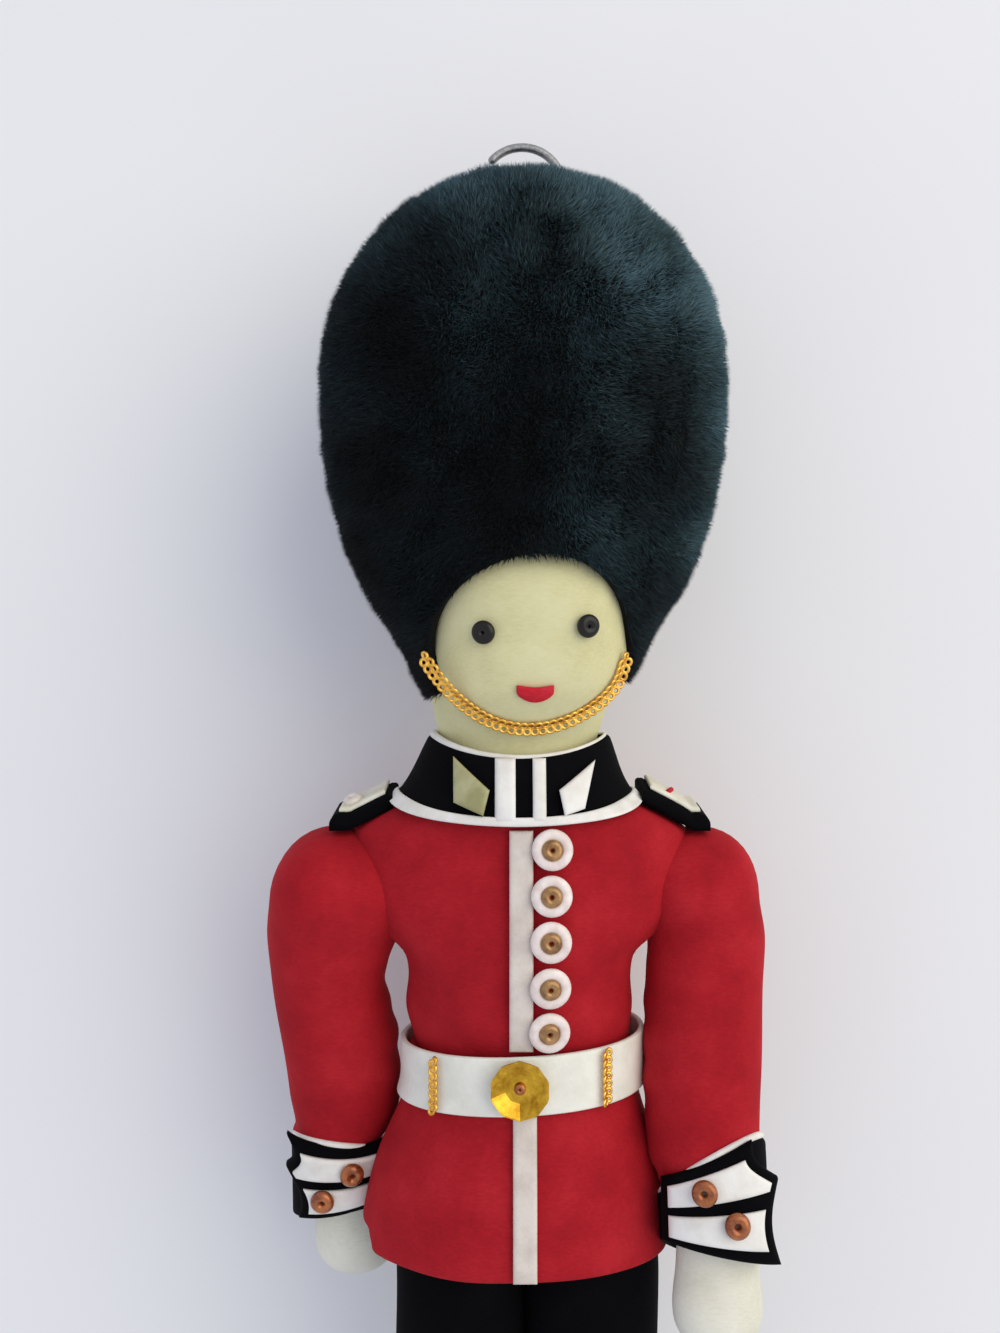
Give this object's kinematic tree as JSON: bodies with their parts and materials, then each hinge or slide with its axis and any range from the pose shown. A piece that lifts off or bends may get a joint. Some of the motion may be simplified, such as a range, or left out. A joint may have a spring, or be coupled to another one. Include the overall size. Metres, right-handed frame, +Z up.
{
  "type": "plush soldier ornament",
  "caption": "Hanging stuffed felt guard soldier in a tall black plush hat, red belted tunic and white trim, with a wire hook, swinging arms and legs.",
  "frame": {"origin": "inside top of the hook's bend, where it rests on what it hangs from", "axes": "+Z up along the figure, -Y out of the face, +X to the soldier's left"},
  "size_m": [0.0531, 0.029, 0.1622],
  "materials": {
    "plush_black": "short-pile plush",
    "wadding": "polyester wadding",
    "felt_cream": "felt",
    "felt_red": "felt",
    "felt_black": "felt",
    "felt_white": "felt",
    "felt_khaki": "felt",
    "vinyl_white": "leather-grained vinyl",
    "gold": "bright gold-coloured metal",
    "bead_gold": "lustre bead",
    "bead_black": "polished bead",
    "sequin_white": "pearly sequin",
    "steel": "drawn wire"
  },
  "bodies": {
    "hook": {"hanging_hook": "steel"},
    "body": {"belt": "vinyl_white", "belt_buckle": "gold", "button_1": "sequin_white", "button_2": "sequin_white", "button_3": "sequin_white", "button_4": "sequin_white", "button_5": "sequin_white", "button_bead_1": "bead_gold", "button_bead_2": "bead_gold", "button_bead_3": "bead_gold", "button_bead_4": "bead_gold", "button_bead_5": "bead_gold", "chin_strap": "gold", "collar": "felt_black", "collar_piping": "felt_white", "hat_cover": "plush_black", "hat_stuffing": "wadding", "head": "felt_cream", "left_belt_slide": "gold", "left_collar_patch": "felt_white", "left_epaulette": "felt_black", "left_epaulette_bead": "sequin_white", "left_epaulette_lace": "vinyl_white", "left_eye": "bead_black", "lower_placket": "vinyl_white", "mouth": "felt_red", "right_belt_slide": "gold", "right_collar_patch": "felt_khaki", "right_epaulette": "felt_black", "right_epaulette_bead": "sequin_white", "right_epaulette_lace": "vinyl_white", "right_eye": "bead_black", "tunic_body": "felt_red", "tunic_skirt": "felt_red", "tunic_stuffing": "wadding", "upper_placket": "vinyl_white"},
    "left_arm": {"left_cuff": "felt_black", "left_cuff_piping": "felt_white", "left_hand": "felt_white", "left_lower_cuff_bead": "bead_gold", "left_lower_cuff_panel": "vinyl_white", "left_sleeve": "felt_red", "left_upper_cuff_bead": "bead_gold", "left_upper_cuff_panel": "vinyl_white"},
    "right_arm": {"right_cuff": "felt_black", "right_cuff_piping": "felt_white", "right_hand": "felt_white", "right_lower_cuff_bead": "bead_gold", "right_lower_cuff_panel": "vinyl_white", "right_sleeve": "felt_red", "right_upper_cuff_bead": "bead_gold", "right_upper_cuff_panel": "vinyl_white"},
    "left_leg": {"left_boot": "felt_black", "left_trouser": "felt_black"},
    "right_leg": {"right_boot": "felt_black", "right_trouser": "felt_black"}
  },
  "joints": [
    {"name": "hanger_swivel", "type": "hinge", "parent": "hook", "child": "body", "pos_m": [0.0045, 0, 0], "axis": [0, 0, 1], "continuous": true},
    {"name": "left_shoulder", "type": "hinge", "parent": "body", "child": "left_arm", "pos_m": [0.01892, -0.006, -0.0799], "axis": [0, -0.9848, 0.1736], "range_deg": [0, 60], "stiffness_Nm_per_rad": 0.001},
    {"name": "right_shoulder", "type": "hinge", "parent": "body", "child": "right_arm", "pos_m": [-0.01892, -0.006, -0.0799], "axis": [0, 0.9816, 0.1908], "range_deg": [0, 60], "stiffness_Nm_per_rad": 0.001},
    {"name": "left_hip", "type": "hinge", "parent": "body", "child": "left_leg", "pos_m": [0.0067, -0.006, -0.1145], "axis": [-1, 0, 0], "range_deg": [-25, 30], "stiffness_Nm_per_rad": 0.002},
    {"name": "right_hip", "type": "hinge", "parent": "body", "child": "right_leg", "pos_m": [-0.0067, -0.006, -0.1145], "axis": [-1, 0, 0], "range_deg": [-25, 30], "stiffness_Nm_per_rad": 0.002}
  ]
}
